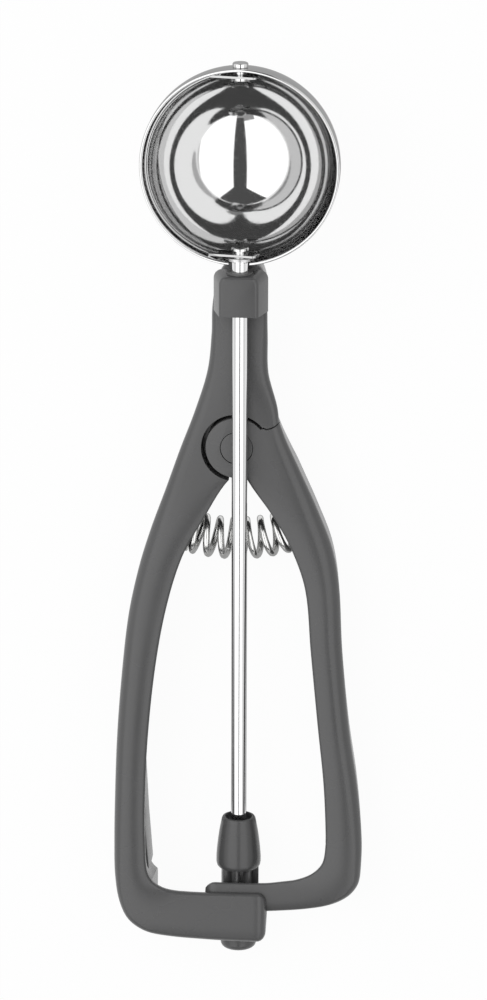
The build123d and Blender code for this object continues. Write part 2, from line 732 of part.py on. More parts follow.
bush_top = pinion_end - end_gap
journal_bush = turned([
    (journal_radius + running_gap, bush_top),
    (journal_bush_collar_radius, bush_top),
    (journal_bush_collar_radius, flange_top + seat_gap),
    (journal_bush_radius, flange_top + seat_gap),
    (journal_bush_radius, foot_bottom - seat_gap),
    (journal_radius + running_gap, foot_bottom - seat_gap),
])

with BuildPart() as end_cap:
    with BuildSketch(across(cap_top - seat_gap)):
        Circle(end_cap_radius)
    extrude(amount=end_cap_height)
    fillet(end_cap.edges().group_by(Axis.Y)[0], end_cap_round)
    with BuildSketch(across(cap_top)):
        keyed(shaft_radius, seat_gap)
    extrude(amount=end_cap_height - end_cap_floor + seat_gap, mode=Mode.SUBTRACT)

# ---------------------------------------------------------------- return spring

wire_points = [spring_wire_point(step / spring_points_per_turn)
               for step in range(int(spring_turns * spring_points_per_turn) + 1)]
with BuildPart() as return_spring:
    with BuildLine() as wire_line:
        Spline(*wire_points)
    with BuildSketch(Plane(origin=wire_line.line @ 0, z_dir=wire_line.line % 0)):
        Circle(spring_wire_radius)
    sweep(path=wire_line.line)

# ---------------------------------------------------------------- laid down and written out

pieces = {
    "handle_frame": handle_frame,
    "neck_collar": neck_collar,
    "shaft_bush": shaft_bush,
    "bowl": bowl,
    "bowl_bracket": bowl_bracket,
    "bracket_screws": bracket_screws,
    "blade_rivet": blade_rivet,
    "pivot_pin": pivot_pin,
    "hub_washer": hub_washer,
    "journal_bush": journal_bush,
    "return_spring": return_spring,
    "lever_handle": lever_handle,
    "pivot_bush": pivot_bush,
    "pivot_cap": pivot_cap,
    "scraper_shaft": scraper_shaft,
    "scraper_blade": scraper_blade,
    "blade_washer": blade_washer,
    "drive_pinion": drive_pinion,
    "end_cap": end_cap,
}

tilt = Location((0, 0, 0), (rest_tilt, 0, 0))
outside = Compound([piece.part for piece in pieces.values()]).moved(tilt).bounding_box()
middle = outside.center()
resting = Location((-middle.X, -middle.Y, -outside.min.Z)) * tilt

os.makedirs("parts", exist_ok=True)
for name, piece in pieces.items():
    placed = piece.part.moved(resting)
    placed.label = name
    export_step(placed, f"parts/{name}.step")

hinge_point = (resting * Location((pivot_x, 0, 0))).position
shaft_point = (resting * Location((0, 0, 0))).position
print("size", outside.size)
print("lever pivot", hinge_point, "axis", 0, sin(radians(rest_tilt)), -cos(radians(rest_tilt)))
print("shaft point", shaft_point, "axis", 0, -cos(radians(rest_tilt)), -sin(radians(rest_tilt)))
print("lever travel", lever_travel, "ratio", blade_travel / lever_travel)
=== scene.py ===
# %% [markdown]
# # A lever ice cream scoop
# This file dresses a finished mechanical model of an ice cream scoop. That model, the frame, holds
# every part at its real size and place, so only looks are added: smooth moulded handles, a bowl
# polished to a mirror, a wound spring, and the finishes of plastic and steel.

# %% Load the frame
import json
from math import asin, atan2, cos, pi, radians, sin, tan

import bpy
from mathutils import Matrix, Vector


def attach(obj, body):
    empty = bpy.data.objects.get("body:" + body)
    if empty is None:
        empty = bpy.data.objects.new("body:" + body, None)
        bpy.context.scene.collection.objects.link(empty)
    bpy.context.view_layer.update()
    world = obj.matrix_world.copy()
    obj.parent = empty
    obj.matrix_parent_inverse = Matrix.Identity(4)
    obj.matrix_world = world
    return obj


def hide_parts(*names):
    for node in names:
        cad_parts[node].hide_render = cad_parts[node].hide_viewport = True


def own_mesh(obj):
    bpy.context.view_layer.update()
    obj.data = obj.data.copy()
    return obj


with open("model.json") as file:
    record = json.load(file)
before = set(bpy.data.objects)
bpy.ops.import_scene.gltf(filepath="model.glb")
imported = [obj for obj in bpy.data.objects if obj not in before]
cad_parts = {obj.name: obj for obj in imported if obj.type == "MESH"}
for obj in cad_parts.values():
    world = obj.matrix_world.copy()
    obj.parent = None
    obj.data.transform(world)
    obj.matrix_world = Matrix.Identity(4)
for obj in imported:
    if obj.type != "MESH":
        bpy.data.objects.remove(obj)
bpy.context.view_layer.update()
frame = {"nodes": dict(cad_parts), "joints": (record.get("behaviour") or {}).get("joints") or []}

# %% [markdown]
# ## The tool's own level frame
# The scoop lies on a worktop, so its shaft leans a few degrees. Modelling on a slope is awkward, so
# every piece is modelled level, in millimetres, with the shaft along Y and the bowl's mouth facing
# Z. One matrix, taken from the frame's two joints, then lays its mesh down.

# %% Find the tool's frame from its joints
joints = {joint["name"]: joint for joint in frame["joints"]}
shaft_point = Vector(joints["scraper_spin"]["pos_m"])
towards_bowl = -Vector(joints["scraper_spin"]["axis"])
out_of_mouth = -Vector(joints["lever_hinge"]["axis"])
to_the_right = towards_bowl.cross(out_of_mouth)
turn = Matrix((to_the_right, towards_bowl, out_of_mouth)).transposed()
millimetres = Matrix.Scale(0.001, 4)
lay_down = Matrix.Translation(shaft_point) @ turn.to_4x4() @ millimetres
lean = atan2(towards_bowl.z, towards_bowl.y)
floor_at_pivot = -shaft_point.z * 1000 / cos(lean)
print("the tool leans", round(lean * 180 / pi, 2), "degrees")


def worktop(y):
    """Height of the worktop in the tool's frame."""
    return floor_at_pivot - y * tan(lean)


# %% [markdown]
# ## Small helpers
# An operator acts on everything that is selected, so each step starts by clearing the selection and
# making one object active. The helpers below hold what comes back for almost every piece.

# %% Select, enter and leave
def only(piece):
    """Leave object mode, select one object alone and make it active."""
    if bpy.context.object and bpy.context.object.mode != "OBJECT":
        bpy.ops.object.mode_set(mode="OBJECT")
    bpy.ops.object.select_all(action="DESELECT")
    if piece:
        piece.select_set(True)
        bpy.context.view_layer.objects.active = piece


def just_added(name):
    """Name the primitive that an operator has just added."""
    piece = bpy.context.object
    piece.name = piece.data.name = name
    return piece


def edit_all(piece):
    """Enter edit mode on one piece, with everything selected."""
    only(piece)
    bpy.ops.object.mode_set(mode="EDIT")
    bpy.ops.mesh.select_all(action="SELECT")


def leave_edit():
    """Back to object mode."""
    bpy.ops.object.mode_set(mode="OBJECT")


# %% [markdown]
# A line is drawn vertex by vertex with extrusions, and a closed one can be filled. Edges are picked
# by where they are, because their numbers change with every step.

# %% Draw a line, pick edges
def drawn(name, points, face=False):
    """A line drawn point by point: a plane merged to one vertex, then extruded along."""
    only(None)
    bpy.ops.mesh.primitive_plane_add(size=1)
    piece = just_added(name)
    bpy.ops.object.mode_set(mode="EDIT")
    bpy.ops.mesh.select_mode(type="VERT")
    bpy.ops.mesh.select_all(action="SELECT")
    bpy.ops.mesh.merge(type="CENTER")
    bpy.ops.transform.translate(value=points[0])
    path = list(points) + ([points[0]] if face else [])
    for last, point in zip(path, path[1:]):
        step = Vector(point) - Vector(last)
        bpy.ops.mesh.extrude_vertices_move(TRANSFORM_OT_translate={"value": step})
    if face:
        bpy.ops.mesh.select_all(action="SELECT")
        bpy.ops.mesh.remove_doubles(threshold=0.0001)
        bpy.ops.mesh.edge_face_add()
    leave_edit()
    return piece


def select_edges(piece, wanted):
    """In edit mode, select the edges whose two end points pass a test."""
    leave_edit()
    for vertex in piece.data.vertices:
        vertex.select = False
    for polygon in piece.data.polygons:
        polygon.select = False
    for edge in piece.data.edges:
        first, second = (piece.data.vertices[index].co for index in edge.vertices)
        edge.select = wanted(first, second)
    bpy.ops.object.mode_set(mode="EDIT")
    bpy.ops.mesh.select_mode(type="EDGE")


def over(height, first, second):
    """True for an edge that lies wholly above a height."""
    return min(first.z, second.z) > height


def soften(piece, wanted, offset, segments):
    """Bevel the edges whose two end points pass a test."""
    select_edges(piece, wanted)
    bpy.ops.mesh.bevel(offset=offset, segments=segments)
    leave_edit()


# %% [markdown]
# Modifiers are applied at once. After a cut or a spin, close vertices are merged and the faces are
# turned outwards: a closed mesh whose signed volume is below zero is inside out.

# %% Modifiers and tidy meshes
def apply_modifier(piece, kind, **settings):
    """Add one modifier, set it and apply it."""
    only(piece)
    modifier = piece.modifiers.new(kind.lower(), kind)
    for name, value in settings.items():
        setattr(modifier, name, value)
    bpy.ops.object.modifier_apply(modifier=modifier.name)


def combine(piece, tool, operation="DIFFERENCE"):
    """Cut a tool out of a piece, or join it on, and throw the tool away."""
    apply_modifier(piece, "BOOLEAN", operation=operation, object=tool, solver="EXACT")
    bpy.data.objects.remove(tool)


def tidy_mesh(piece):
    """Merge doubles and turn every face outwards."""
    edit_all(piece)
    bpy.ops.mesh.remove_doubles(threshold=0.001)
    bpy.ops.mesh.normals_make_consistent(inside=False)
    leave_edit()
    return piece


def turn_out(piece):
    """Flip a closed piece whose signed volume is below zero."""
    volume = 0.0
    for polygon in piece.data.polygons:
        corners = [piece.data.vertices[index].co for index in polygon.vertices]
        for second, third in zip(corners[1:], corners[2:]):
            volume += corners[0].dot(second.cross(third))
    if volume < 0:
        edit_all(piece)
        bpy.ops.mesh.flip_normals()
        leave_edit()
    return piece


def smooth(piece, angle):
    """Shade smooth, but keep edges sharper than the angle crisp."""
    only(piece)
    bpy.ops.object.shade_smooth_by_angle(angle=radians(angle))


# %% [markdown]
# Simple shapes are given by where they end, which is easier to read than a middle and a size.

# %% Simple shapes
def column(radius, low, high, centre=(0.0, 0.0), sides=96):
    """A round tool or piece that stands along Z."""
    only(None)
    bpy.ops.mesh.primitive_cylinder_add(
        vertices=sides, radius=radius, depth=high - low,
        location=(centre[0], centre[1], (low + high) / 2))
    piece = just_added("column")
    bpy.ops.object.transform_apply()
    return piece


def column_along(radius, middle, low, high, sides=64):
    """The same, lying along the shaft's axis, with its ends counted from a middle."""
    piece = column(radius, -high, -low, sides=sides)
    piece.data.transform(Matrix.Rotation(pi / 2, 4, "X"))
    piece.data.transform(Matrix.Translation((0, middle, 0)))
    return piece


def brick(x_span, y_span, z_span):
    """A plain block between two values on each axis."""
    only(None)
    spans = (x_span, y_span, z_span)
    bpy.ops.mesh.primitive_cube_add(size=1, location=[(low + high) / 2 for low, high in spans])
    piece = just_added("brick")
    piece.scale = [high - low for low, high in spans]
    bpy.ops.object.transform_apply()
    return piece


def slab(points, low, high):
    """A straight-sided outline stood up between two heights."""
    piece = drawn("slab", [(x, y, low) for x, y in points], face=True)
    edit_all(piece)
    bpy.ops.mesh.extrude_region_move(TRANSFORM_OT_translate={"value": (0, 0, high - low)})
    leave_edit()
    return tidy_mesh(piece)


def spun(name, profile, steps=96):
    """A round piece on the shaft's axis, from half its outline as (radius, y) points."""
    ring = list(profile)
    if min(radius for radius, y in profile) > 0:
        ring.append(profile[0])
    piece = drawn(name, [(radius, y, 0) for radius, y in ring])
    edit_all(piece)
    bpy.ops.mesh.spin(steps=steps, angle=2 * pi, center=(0, 0, 0), axis=(0, 1, 0))
    leave_edit()
    return turn_out(tidy_mesh(piece))


def turned(name, points, radii, steps=96):
    """A turned part: its half outline with rounded corners, spun."""
    return spun(name, rounded_profile(points, radii), steps)


def quarter(steps):
    """Sine, and one minus cosine, in even steps over a quarter turn."""
    angles = [pi / 2 * step / steps for step in range(steps + 1)]
    return [(sin(angle), 1 - cos(angle)) for angle in angles]


# %% [markdown]
# Real corners are never sharp, so one helper rounds the corners of any outline. The last one lays a
# finished piece down and hides the mechanical node it stands for.

# %% Rounded outlines, and a piece's place
def rounded_profile(points, radii, steps=5):
    """Points of an outline with each corner rounded by its own radius, 0 for a sharp one."""
    made = []
    for index, (point, radius) in enumerate(zip(points, radii)):
        here = Vector(point)
        if radius <= 0:
            made.append(tuple(here))
            continue
        to_last = (Vector(points[index - 1]) - here).normalized()
        to_next = (Vector(points[(index + 1) % len(points)]) - here).normalized()
        half = to_last.angle(to_next) / 2
        reach = radius / tan(half)
        middle = here + (to_last + to_next).normalized() * radius / sin(half)
        first, last = here + to_last * reach, here + to_next * reach
        start = atan2(first.y - middle.y, first.x - middle.x)
        sweep = atan2(last.y - middle.y, last.x - middle.x) - start
        sweep = (sweep + pi) % (2 * pi) - pi
        for step in range(steps + 1):
            angle = start + sweep * step / steps
            made.append((middle.x + radius * cos(angle), middle.y + radius * sin(angle)))
    return made


def place(piece, body, finish, node, angle=30):
    """Smooth a piece, lay it down in the frame, give it its finish, and let it ride on its body."""
    smooth(piece, angle)
    piece.data.transform(lay_down)
    piece.data.materials.clear()
    piece.data.materials.append(finish)
    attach(piece, body)
    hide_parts(node)
    triangles = sum(len(polygon.vertices) - 2 for polygon in piece.data.polygons)
    print("made", piece.name, "with", triangles, "triangles")


# %% [markdown]
# ## Finishes
# The handles are moulded in dark grey nylon. A fine spark-eroded grain breaks up the gloss, and the
# gloss itself wanders a little where hands have rubbed it. The grain is a bump from noise on object
# coordinates, far finer than a millimetre, so it only softens the highlight.

# %% Moulded plastic
def new_finish(name):
    """A new material, with its nodes, its links and its shader."""
    finish = bpy.data.materials.new(name)
    finish.use_nodes = True
    nodes = finish.node_tree.nodes
    return finish, nodes, finish.node_tree.links, nodes["Principled BSDF"]


def add_node(nodes, kind, **inputs):
    """A new node with some inputs set: To_Min=1 sets the one called To Min."""
    made = nodes.new("ShaderNode" + kind)
    for name, value in inputs.items():
        made.inputs[name.replace("_", " ")].default_value = value
    return made


def noise(nodes, links, place_on, scale, detail):
    """Noise of one scale, on the given coordinates."""
    texture = add_node(nodes, "TexNoise", Scale=scale, Detail=detail)
    links.new(place_on, texture.inputs["Vector"])
    return texture.outputs["Fac"]


def relief(nodes, links, shader, height, strength, distance):
    """Let a noise raise and lower the surface."""
    bump = add_node(nodes, "Bump", Strength=strength, Distance=distance)
    links.new(height, bump.inputs["Height"])
    links.new(bump.outputs["Normal"], shader.inputs["Normal"])


def moulded_plastic(name, colour, gloss, grain=0.12, grain_size=0.00022):
    """A grained plastic with uneven gloss."""
    finish, nodes, links, shader = new_finish(name)
    place_on = add_node(nodes, "TexCoord").outputs["Object"]
    rub_noise = noise(nodes, links, place_on, 60, 4)
    rubbed = add_node(nodes, "MapRange", To_Min=gloss - 0.05, To_Max=gloss + 0.06)
    links.new(rub_noise, rubbed.inputs["Value"])
    links.new(rubbed.outputs["Result"], shader.inputs["Roughness"])
    darker, lighter = ((*[share * part for part in colour], 1) for share in (0.94, 1.06))
    tint = add_node(nodes, "MixRGB", Color1=darker, Color2=lighter)
    links.new(rub_noise, tint.inputs["Fac"])
    links.new(tint.outputs["Color"], shader.inputs["Base Color"])
    grain_noise = noise(nodes, links, place_on, 1 / grain_size, 3)
    relief(nodes, links, shader, grain_noise, grain, 0.00003)
    shader.inputs["IOR"].default_value = 1.48
    return finish


handle_grey = moulded_plastic("dark_grey_nylon", (0.089, 0.089, 0.090), 0.27)
collar_grey = moulded_plastic("collar_grey_nylon", (0.089, 0.089, 0.090), 0.27)
cap_grey = moulded_plastic("pivot_cap_grey", (0.087, 0.087, 0.088), 0.29)
gear_black = moulded_plastic("black_acetal", (0.080, 0.080, 0.081), 0.27, grain=0.06)
bush_grey = moulded_plastic("bush_acetal", (0.10, 0.10, 0.10), 0.40)

# %% [markdown]
# The bowl is polished to a mirror, with the hair scratches that a polishing mop leaves. The blade
# is a little duller and darker, as it scrapes, and the shaft's scratches run along it. The spring
# is bright drawn wire, and the hidden pieces are plain turned steel.

# %% Steel
def steel(name, colour, roughness, scratch_scale, scratch_strength, stretch=(1, 1, 1)):
    """Metal with fine scratches that break up its reflection."""
    finish, nodes, links, shader = new_finish(name)
    shader.inputs["Base Color"].default_value = (*colour, 1)
    shader.inputs["Metallic"].default_value = 1
    direction = add_node(nodes, "Mapping", Scale=stretch)
    links.new(add_node(nodes, "TexCoord").outputs["Object"], direction.inputs["Vector"])
    scratches = noise(nodes, links, direction.outputs["Vector"], scratch_scale, 5)
    wear = add_node(nodes, "MapRange", From_Min=0.35, From_Max=0.75,
                    To_Min=roughness * 0.7, To_Max=roughness * 1.8)
    links.new(scratches, wear.inputs["Value"])
    links.new(wear.outputs["Result"], shader.inputs["Roughness"])
    relief(nodes, links, shader, scratches, scratch_strength, 0.00001)
    return finish


mirror_steel = steel("mirror_polished_steel", (0.68, 0.68, 0.68), 0.055, 900, 0.004)
blade_steel = steel("polished_blade_steel", (0.46, 0.46, 0.46), 0.08, 900, 0.004)
rod_steel = steel("polished_rod_steel", (0.78, 0.78, 0.78), 0.07, 2500, 0.06, stretch=(1, 0.05, 1))
wire_steel = steel("drawn_wire_steel", (0.70, 0.70, 0.69), 0.16, 160, 0.02)
plain_steel = steel("turned_steel", (0.60, 0.60, 0.60), 0.28, 1500, 0.15)

# %% [markdown]
# Pieces that are hidden inside keep the mechanical model's shapes and only get a finish.

# %% Finishes of the hidden pieces
for name, finish in {
    "bowl_bracket": plain_steel, "bracket_screws": plain_steel, "pivot_pin": plain_steel,
    "hub_washer": bush_grey, "journal_bush": bush_grey, "shaft_bush": bush_grey,
    "pivot_bush": bush_grey, "blade_washer": plain_steel,
}.items():
    node = frame["nodes"][name]
    node.data.materials.clear()
    node.data.materials.append(finish)
    smooth(node, 30)

# %% [markdown]
# ## The two handle mouldings
# Frame and lever are long curved beams: strips between two curves, whose front comes forward
# towards the feet. The cross-section is lopsided: the edge that the palm presses on is a broad soft
# shoulder, and the edge towards the shaft is nearly square. A bevel can't change like that along an
# edge, so a grid is used: each of its rows is wrapped round one cross-section. First come the
# heights, how far forward the front is and where the back lies.

# %% Heights of the front and the back
neck_front = -2.3
handle_rear = -15.5
slope_top, slope_foot = -14.0, -110.0
rear_break = (floor_at_pivot - handle_rear) / tan(lean)


def smooth_step(value, low, high, ease):
    """Rises from 0 at low to 1 at high in a straight line, with both bends eased."""
    share = (value - low) / (high - low)
    bend = ease / abs(high - low)
    if share <= -bend:
        return 0.0
    if share < bend:
        return (share + bend) ** 2 / (4 * bend)
    if share <= 1 - bend:
        return share
    if share < 1 + bend:
        return 1 - (1 + bend - share) ** 2 / (4 * bend)
    return 1.0


def front_height(y, foot_height):
    """Front of a handle at y."""
    return neck_front + (foot_height - neck_front) * smooth_step(y, slope_top, slope_foot, 4.0)


def rear_height(y):
    """Back of a handle at y: level at the neck, then along the worktop."""
    bend = 6.0
    if y > rear_break + bend:
        return handle_rear
    if y < rear_break - bend:
        return worktop(y)
    share = (rear_break + bend - y) / (2 * bend)
    return handle_rear + (worktop(rear_break - bend) - handle_rear) * share * share


# %% [markdown]
# The side curves pass smoothly through a few measured points. Between them the front is arched, and
# both walls lean in towards the back, as they must to leave the mould.

# %% A curve through points, and one cross-section
def curve_through(points, steps):
    """Points on a smooth curve through the given ones: steps of it between each two."""
    made = []
    last = len(points) - 1
    for index in range(last):
        before = Vector(points[max(index - 1, 0)])
        first, second = Vector(points[index]), Vector(points[index + 1])
        after = Vector(points[min(index + 2, last)])
        span = (second - first).length
        leave = (second - before) / max((second - first).length + (first - before).length, 1e-6) * span
        arrive = (after - first) / max((after - second).length + span, 1e-6) * span
        for step in range(steps):
            t = step / steps
            made.append(
                first * (2 * t ** 3 - 3 * t ** 2 + 1) + leave * (t ** 3 - 2 * t ** 2 + t)
                + second * (-2 * t ** 3 + 3 * t ** 2) + arrive * (t ** 3 - t ** 2))
    made.append(Vector(points[last]))
    return made


full_crown = 0.75
flat_hub, crowned_from = 7.0, 24.0
most_crown, narrowest = 0.12, 0.45
draft = radians(5.2)
rear_round = 2.0


def cross_section(width, depth, shoulder, drop, inner, rear, inset, crown):
    """A closed section as (across, height below the front) points, from the outer wall round.

    shoulder and drop are the width and height of the outer rounding, inner and rear the radii of
    the others, and inset draws the whole section in, for a rounded end.
    """
    corners = (
        [(shoulder * fall, -drop * (1 - rise)) for rise, fall in quarter(8)],
        [(width - inner + inner * rise, -inner * fall) for rise, fall in quarter(4)],
        [(width - rear * fall, -depth + rear * (1 - rise)) for rise, fall in quarter(4)],
        [(rear * (1 - rise), -depth + rear * fall) for rise, fall in quarter(4)])
    points = []
    for corner, following in zip(corners, corners[1:] + corners[:1]):
        start, end = Vector(corner[-1]), Vector(following[0])
        points += corner + [tuple(start.lerp(end, step / 4)) for step in (1, 2, 3)]
    if inset:
        across = (width - 2 * inset) / width
        tall = (depth - 2 * inset) / depth
        points = [(inset + u * across, -inset + v * tall) for u, v in points]
    taper = max(1 - 2 * tan(draft) * depth / width, narrowest)
    rise = min(crown, most_crown * width)
    shaped = []
    for u, v in points:
        back = -v / depth
        side = 2 * u / width - 1
        narrower = 1 - (1 - taper) * back
        shaped.append(((1 + side * narrower) * width / 2, v - rise * side * side * (1 - back)))
    return shaped


# %% [markdown]
# The rows are laid from station to station. The neck's waist and the foot's end wall lean in a
# little more, and at a free end the last rows shrink along a quarter circle.

# %% The strip
waist_y, waist_reach, waist_ease, waist_draft = 11.0, 16.0, 6, 0.085
end_wall_from, end_wall_ease, end_wall_below = 3.0, 5, -115.0


def moulding(name, stations, foot_height, steps=7, end_round=2.4, round_start=True, end_draft=0.0):
    """A handle moulding. A station is (outer point, inner point, shoulder, drop, inner radius)."""
    outer = curve_through([station[0] for station in stations], steps)
    inner = curve_through([station[1] for station in stations], steps)
    shapes = curve_through([station[2:] for station in stations], steps)
    rows = [(o, i, s, 0.0) for o, i, s in zip(outer, inner, shapes)]

    def closed_end(run):
        """The rows with a quarter round in place of their last stretch."""
        last, before = run[-1], run[-2]
        ways = [(last[side] - before[side]).normalized() for side in (0, 1)]
        kept = list(run)
        while (last[0] - kept[-2][0]).length < end_round:
            kept.pop()
        kept.pop()
        for rise, fall in quarter(6):
            back = end_round * (rise - 1)
            outer_spot, inner_spot = (last[side] + ways[side] * back for side in (0, 1))
            kept.append((outer_spot, inner_spot, last[2], end_round * fall))
        return kept

    rows = closed_end(rows)
    if round_start:
        rows = closed_end(rows[::-1])[::-1]
    points = []
    for o, i, shape, inset in rows:
        across = i - o
        width = across.length
        middle_y = (o.y + i.y) / 2
        depth = front_height(middle_y, foot_height) - rear_height(middle_y)
        arched = full_crown * smooth_step(abs(middle_y), flat_hub, crowned_from, 3.0)
        section = cross_section(width, depth, *shape, rear_round, inset, arched)
        for u, v in section:
            spot = o + across * (u / width)
            front, rear = front_height(spot.y, foot_height), rear_height(spot.y)
            share = -v / depth
            height = (front + v) * (1 - share) + (rear + (depth + v)) * share
            waist = max(0.0, 1 - abs(spot.y - waist_y) / waist_reach)
            waist *= min(max(spot.x, 0.0) / waist_ease, 1.0)
            near_end = 0.0
            if spot.y < end_wall_below:
                near_end = min(max(spot.x - end_wall_from, 0.0) / end_wall_ease, 1.0)
            leaning = (waist_draft * waist + end_draft * near_end) * -v
            points.append((spot.x - leaning, spot.y, height))
    around = len(cross_section(10, 10, 2, 2, 1, 1, 0, 0))
    count = len(rows)
    only(None)
    bpy.ops.mesh.primitive_grid_add(x_subdivisions=around, y_subdivisions=count - 1, size=1)
    piece = just_added(name)
    wide = around + 1
    for row in range(count):
        for column_index in range(wide):
            vertex = piece.data.vertices[row * wide + column_index]
            vertex.co = points[row * around + column_index % around]
    tidy_mesh(piece)
    bpy.ops.object.mode_set(mode="EDIT")
    bpy.ops.mesh.select_all(action="DESELECT")
    bpy.ops.mesh.select_mode(type="EDGE")
    bpy.ops.mesh.select_non_manifold()
    bpy.ops.mesh.fill_holes(sides=0)
    return tidy_mesh(piece)


# %% [markdown]
# ### The frame
# The frame starts as one strip from behind the bowl, down the left arm and round into the front
# foot. The cuts that follow are those that a moulder's tool would make.

# %% Frame blank
pivot_x = -1.0
hub_radius = 8.0
recess_radius = 8.9
recess_shift = -0.25
lap_low, lap_high = -8.3, -8.1
foot_front = 10.05
foot_wall_back = 7.75
foot_end = 7.95

frame_stations = [
    ((-4.9, 48.6), (5.0, 48.6), 2.2, 2.6, 2.2),
    ((-6.3, 44.0), (6.6, 44.0), 1.8, 2.0, 1.8),
    ((-7.1, 40.8), (6.9, 40.8), 1.6, 1.8, 1.6),
    ((-7.6, 36.3), (6.8, 36.3), 1.4, 1.6, 1.4),
    ((-7.8, 30.0), (6.9, 30.0), 1.8, 2.0, 1.8),
    ((-8.9, 20.0), (7.25, 19.6), 2.6, 2.4, 2.2),
    ((-12.1, 9.3), (9.9, 9.0), 3.4, 2.6, 1.8),
    ((-16.1, -1.5), (8.6, 0.5), 4.0, 2.8, 1.2),
    ((-19.9, -12.5), (-2.6, -8.3), 4.4, 2.9, 0.8),
    ((-23.5, -22.5), (-9.8, -19.9), 4.4, 3.0, 0.8),
    ((-26.5, -32.5), (-14.9, -29.4), 4.2, 3.0, 0.8),
    ((-29.1, -45.0), (-18.8, -42.5), 4.0, 3.0, 0.8),
    ((-30.7, -60.0), (-21.5, -58.0), 3.8, 3.0, 0.8),
    ((-31.8, -77.0), (-23.3, -77.0), 3.6, 2.8, 0.8),
    ((-32.2, -94.0), (-23.9, -94.0), 3.4, 2.7, 0.8),
    ((-32.2, -106.0), (-23.7, -105.0), 3.0, 2.5, 0.8),
    ((-31.9, -114.5), (-23.2, -112.0), 2.4, 2.3, 0.8),
    ((-30.8, -121.2), (-21.8, -115.1), 2.0, 2.0, 0.8),
    ((-28.4, -126.3), (-19.6, -116.7), 1.8, 1.9, 0.8),
    ((-24.0, -129.4), (-17.0, -117.5), 1.6, 1.8, 0.8),
    ((-18.0, -130.6), (-13.6, -117.8), 1.6, 1.8, 0.8),
    ((-8.0, -131.2), (-8.0, -117.9), 1.6, 1.8, 0.8),
    ((0.0, -131.4), (0.0, -117.8), 1.6, 1.8, 0.8),
    ((foot_end, -131.4), (foot_end, -117.7), 1.6, 1.8, 0.8),
]
handle = moulding("handle_frame_moulding", frame_stations, foot_front, end_draft=0.055)
print("frame blank:", len(handle.data.vertices), "vertices")

# %% [markdown]
# The two mouldings meet in a lap joint at the hub, which shows as a ring of shadow round the
# lever's disc and a short seam. Both halves are cut with the same line, each moved a little to its
# own side. The foot is hollowed behind, so that its front wall covers the lever's tongue.

# %% Frame: seam, hub and foot
seam_gap = 0.2
seam_tip_angle = radians(38.5)
seam_tip = (pivot_x + recess_radius * cos(seam_tip_angle), recess_radius * sin(seam_tip_angle))
seam_line = [seam_tip, (6.6, 5.25), (7.6, 5.45), (8.8, 6.0), (10.4, 7.2), (18.0, 13.0)]
below, above, far = -30, 30, 40.0

lever_side = [(x, y + seam_gap) for x, y in seam_line]
lever_side += [(far, 13.0), (far, -14.0), (-2.3, -14.0), (pivot_x, 0.0)]
combine(handle, slab(lever_side, below, above))
combine(handle, column(recess_radius, lap_low, above, (pivot_x + recess_shift, 0.0), 160))
combine(handle, column(hub_radius, handle_rear, lap_low, (pivot_x, 0.0), 160), "UNION")
flange_top = -127.0
combine(handle, brick((-22.0, far), (flange_top, -96.0), (-far, foot_wall_back)))
print("frame cut:", len(handle.data.polygons), "faces")

# %% [markdown]
# A thin web stiffens the corner of arm and foot. The spring's first turn sits in a round pocket in
# the arm, and the bowl in a seat of its own radius. The holes behind are for the pin and for the
# two screws of the bowl's bracket.

# %% Frame: the web, the pocket, the bowl's seat and the holes
web_points = [(-28.0, -78.0), (-25.2, -80.0), (-24.2, -100.0), (-23.2, -113.4), (-23.7, -115.7),
              (-24.0, -119.0), (-28.0, -119.0)]
web_front, web_root = 4.4, -26
web = slab(web_points, worktop(-117.0) + 1, web_front)
soften(web, lambda a, b: over(web_front - 0.1, a, b) and min(a.x, b.x) > web_root,
       offset=0.8, segments=3)
combine(handle, tidy_mesh(web), "UNION")

coil_radius, wire_radius = 4.72, 0.88
left_seat, right_seat, coil_height = Vector((-12.8, -24.7)), Vector((13.9, -22.95)), -8.6
pocket_way, pocket_start, pocket_depth, pocket_gap = radians(166.4), -2.5, 3.2, 0.25
pocket = column(coil_radius + wire_radius + pocket_gap, pocket_start, pocket_depth, sides=64)
pocket.data.transform(Matrix.Translation((left_seat.x, left_seat.y, coil_height))
                      @ Matrix.Rotation(pocket_way, 4, "Z") @ Matrix.Rotation(pi / 2, 4, "Y"))
combine(handle, pocket)

bowl_y, bowl_radius, seat_clearance = 74.8, 25.3, 0.03
only(None)
bpy.ops.mesh.primitive_uv_sphere_add(
    segments=96, ring_count=48, radius=bowl_radius + seat_clearance, location=(0, bowl_y, 0))
bowl_seat = just_added("bowl_seat")
bpy.ops.object.transform_apply()
combine(handle, bowl_seat)
pin_hole, pin_sink, screw_hole, screw_sink = 4.1, 1.6, 2.65, 1.7
combine(handle, column(pin_hole, below, handle_rear + pin_sink, (pivot_x, 0.0)))
for screw_y in (31.0, 38.0):
    combine(handle, column(screw_hole, below, handle_rear + screw_sink, (0.0, screw_y), 48))
place(handle, "frame", handle_grey, "handle_frame")

# %% [markdown]
# ### The lever
# The lever is the same kind of strip, from the hub down the right arm. Its foot thins to a tongue
# that passes behind the front foot and carries the rack.

